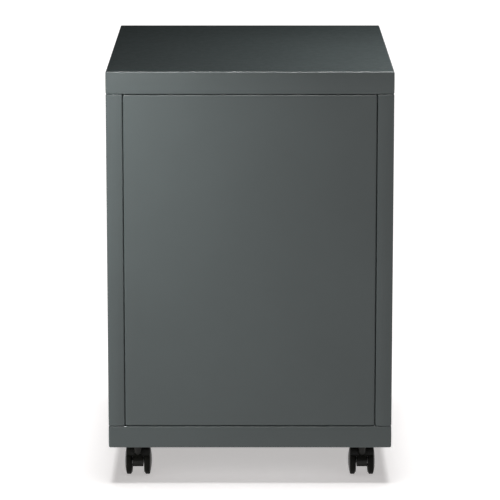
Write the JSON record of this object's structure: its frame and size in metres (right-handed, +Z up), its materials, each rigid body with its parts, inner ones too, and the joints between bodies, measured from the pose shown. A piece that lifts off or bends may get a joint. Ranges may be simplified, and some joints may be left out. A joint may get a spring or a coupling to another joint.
{
  "type": "rolling pedestal cabinet",
  "caption": "Charcoal steel mobile pedestal on twin-wheel casters, with a box drawer above a file drawer, full-width finger pulls, a lock bar and a plain framed rear panel.",
  "frame": {"origin": "on the floor under the centre of the bounding box, the wheels standing on z=0", "axes": "+Z up; the drawers pull out towards -Y and the lock is in the front at +X; the plain rear panel faces +Y"},
  "size_m": [0.38, 0.492, 0.56],
  "materials": {
    "charcoal_powder_coat": "satin powder coat, charcoal with a slight green-grey cast",
    "charcoal_inside": "satin powder coat",
    "zinc_plated_steel": "bright zinc plated",
    "cast_counterweight": "dark primer on casting",
    "chrome_lock": "bright plated",
    "natural_plastic": "natural moulded plastic",
    "black_tray_plastic": "fine-textured moulded plastic",
    "ball_steel": "bright balls in yellow-passivated strip",
    "black_caster_nylon": "glossy moulded nylon",
    "black_caster_wheel": "glossy moulded wheel with a softer tread",
    "brake_lever_plastic": "black moulded plastic"
  },
  "bodies": {
    "case": {"top_panel": "charcoal_powder_coat", "left_side_panel": "charcoal_powder_coat", "right_side_panel": "charcoal_powder_coat", "back_panel": "charcoal_powder_coat", "base_panel": "charcoal_powder_coat", "front_left_upright": "zinc_plated_steel", "front_right_upright": "zinc_plated_steel", "rear_left_upright": "zinc_plated_steel", "rear_right_upright": "zinc_plated_steel", "front_caster_channel": "zinc_plated_steel", "rear_caster_channel": "zinc_plated_steel", "counterweight": "cast_counterweight", "lock_housing": "chrome_lock", "lock_bar_guides": "natural_plastic", "left_box_slide_outer": "zinc_plated_steel", "right_box_slide_outer": "zinc_plated_steel", "left_file_slide_outer": "zinc_plated_steel", "right_file_slide_outer": "zinc_plated_steel", "caster_stems": "zinc_plated_steel"},
    "lock_core": {"lock_core": "chrome_lock", "lock_cam": "zinc_plated_steel"},
    "lock_bar": {"lock_bar": "zinc_plated_steel"},
    "box_cages": {"box_ball_cages": "ball_steel"},
    "box_drawer": {"box_drawer_front": "charcoal_powder_coat", "box_drawer_body": "charcoal_inside", "box_drawer_catch": "zinc_plated_steel", "box_divider": "charcoal_inside", "left_box_slide_inner": "zinc_plated_steel", "right_box_slide_inner": "zinc_plated_steel"},
    "pencil_tray": {"pencil_tray": "black_tray_plastic"},
    "file_outer_cages": {"file_outer_ball_cages": "ball_steel"},
    "file_middles": {"left_file_slide_middle": "zinc_plated_steel", "right_file_slide_middle": "zinc_plated_steel"},
    "file_inner_cages": {"file_inner_ball_cages": "ball_steel"},
    "file_drawer": {"file_drawer_front": "charcoal_powder_coat", "file_drawer_body": "charcoal_inside", "file_drawer_catch": "zinc_plated_steel", "left_file_rail": "zinc_plated_steel", "right_file_rail": "zinc_plated_steel", "left_file_slide_inner": "zinc_plated_steel", "right_file_slide_inner": "zinc_plated_steel"},
    "file_cross_bar": {"file_cross_bar": "zinc_plated_steel"},
    "front_left_yoke": {"front_left_yoke": "black_caster_nylon", "front_left_axle": "zinc_plated_steel"},
    "front_left_wheel_a": {"front_left_wheel_a": "black_caster_wheel"},
    "front_left_wheel_b": {"front_left_wheel_b": "black_caster_wheel"},
    "left_brake_lever": {"left_brake_lever": "brake_lever_plastic"},
    "front_right_yoke": {"front_right_yoke": "black_caster_nylon", "front_right_axle": "zinc_plated_steel"},
    "front_right_wheel_a": {"front_right_wheel_a": "black_caster_wheel"},
    "front_right_wheel_b": {"front_right_wheel_b": "black_caster_wheel"},
    "right_brake_lever": {"right_brake_lever": "brake_lever_plastic"},
    "rear_left_yoke": {"rear_left_yoke": "black_caster_nylon", "rear_left_axle": "zinc_plated_steel"},
    "rear_left_wheel_a": {"rear_left_wheel_a": "black_caster_wheel"},
    "rear_left_wheel_b": {"rear_left_wheel_b": "black_caster_wheel"},
    "rear_right_yoke": {"rear_right_yoke": "black_caster_nylon", "rear_right_axle": "zinc_plated_steel"},
    "rear_right_wheel_a": {"rear_right_wheel_a": "black_caster_wheel"},
    "rear_right_wheel_b": {"rear_right_wheel_b": "black_caster_wheel"}
  },
  "joints": [
    {"name": "box_drawer_slide", "type": "slide", "parent": "case", "child": "box_drawer", "axis": [0, -1, 0], "range_m": [0, 0.3]},
    {"name": "box_cage_roll", "type": "slide", "parent": "case", "child": "box_cages", "axis": [0, -1, 0], "range_m": [0, 0.15]},
    {"name": "pencil_tray_slide", "type": "slide", "parent": "box_drawer", "child": "pencil_tray", "axis": [0, 1, 0], "range_m": [0, 0.2]},
    {"name": "file_drawer_slide", "type": "slide", "parent": "case", "child": "file_drawer", "axis": [0, -1, 0], "range_m": [0, 0.4]},
    {"name": "file_middle_slide", "type": "slide", "parent": "case", "child": "file_middles", "axis": [0, -1, 0], "range_m": [0, 0.2]},
    {"name": "file_outer_cage_roll", "type": "slide", "parent": "case", "child": "file_outer_cages", "axis": [0, -1, 0], "range_m": [0, 0.1]},
    {"name": "file_inner_cage_roll", "type": "slide", "parent": "case", "child": "file_inner_cages", "axis": [0, -1, 0], "range_m": [0, 0.3]},
    {"name": "file_cross_bar_slide", "type": "slide", "parent": "file_drawer", "child": "file_cross_bar", "axis": [0, -1, 0], "range_m": [0, 0.3]},
    {"name": "lock_turn", "type": "hinge", "parent": "case", "child": "lock_core", "pos_m": [0.15, -0.235, 0.545], "axis": [0, -1, 0], "range_deg": [0, 90]},
    {"name": "lock_bar_lift", "type": "slide", "parent": "case", "child": "lock_bar", "axis": [0, 0, 1], "range_m": [0, 0.01414]},
    {"name": "front_left_swivel", "type": "hinge", "parent": "case", "child": "front_left_yoke", "pos_m": [-0.152, -0.195, 0.036], "axis": [0, 0, 1], "continuous": true},
    {"name": "front_left_wheel_a_spin", "type": "hinge", "parent": "front_left_yoke", "child": "front_left_wheel_a", "pos_m": [-0.165, -0.214, 0.02], "axis": [1, 0, 0], "continuous": true},
    {"name": "front_left_wheel_b_spin", "type": "hinge", "parent": "front_left_yoke", "child": "front_left_wheel_b", "pos_m": [-0.139, -0.214, 0.02], "axis": [1, 0, 0], "continuous": true},
    {"name": "left_brake_press", "type": "hinge", "parent": "front_left_yoke", "child": "left_brake_lever", "pos_m": [-0.152, -0.22621, 0.04296], "axis": [1, 0, 0], "range_deg": [0, 9]},
    {"name": "front_right_swivel", "type": "hinge", "parent": "case", "child": "front_right_yoke", "pos_m": [0.152, -0.195, 0.036], "axis": [0, 0, 1], "continuous": true},
    {"name": "front_right_wheel_a_spin", "type": "hinge", "parent": "front_right_yoke", "child": "front_right_wheel_a", "pos_m": [0.139, -0.214, 0.02], "axis": [1, 0, 0], "continuous": true},
    {"name": "front_right_wheel_b_spin", "type": "hinge", "parent": "front_right_yoke", "child": "front_right_wheel_b", "pos_m": [0.165, -0.214, 0.02], "axis": [1, 0, 0], "continuous": true},
    {"name": "right_brake_press", "type": "hinge", "parent": "front_right_yoke", "child": "right_brake_lever", "pos_m": [0.152, -0.22621, 0.04296], "axis": [1, 0, 0], "range_deg": [0, 9]},
    {"name": "rear_left_swivel", "type": "hinge", "parent": "case", "child": "rear_left_yoke", "pos_m": [-0.152, 0.213, 0.036], "axis": [0, 0, 1], "continuous": true},
    {"name": "rear_left_wheel_a_spin", "type": "hinge", "parent": "rear_left_yoke", "child": "rear_left_wheel_a", "pos_m": [-0.165, 0.194, 0.02], "axis": [1, 0, 0], "continuous": true},
    {"name": "rear_left_wheel_b_spin", "type": "hinge", "parent": "rear_left_yoke", "child": "rear_left_wheel_b", "pos_m": [-0.139, 0.194, 0.02], "axis": [1, 0, 0], "continuous": true},
    {"name": "rear_right_swivel", "type": "hinge", "parent": "case", "child": "rear_right_yoke", "pos_m": [0.152, 0.213, 0.036], "axis": [0, 0, 1], "continuous": true},
    {"name": "rear_right_wheel_a_spin", "type": "hinge", "parent": "rear_right_yoke", "child": "rear_right_wheel_a", "pos_m": [0.139, 0.194, 0.02], "axis": [1, 0, 0], "continuous": true},
    {"name": "rear_right_wheel_b_spin", "type": "hinge", "parent": "rear_right_yoke", "child": "rear_right_wheel_b", "pos_m": [0.165, 0.194, 0.02], "axis": [1, 0, 0], "continuous": true}
  ],
  "couplings": [
    {"joint": "box_cage_roll", "follows": "box_drawer_slide", "ratio": 0.5},
    {"joint": "file_middle_slide", "follows": "file_drawer_slide", "ratio": 0.5},
    {"joint": "file_outer_cage_roll", "follows": "file_drawer_slide", "ratio": 0.25},
    {"joint": "file_inner_cage_roll", "follows": "file_drawer_slide", "ratio": 0.75},
    {"joint": "lock_turn", "follows": "lock_bar_lift", "rad_per_m": 111.08}
  ]
}
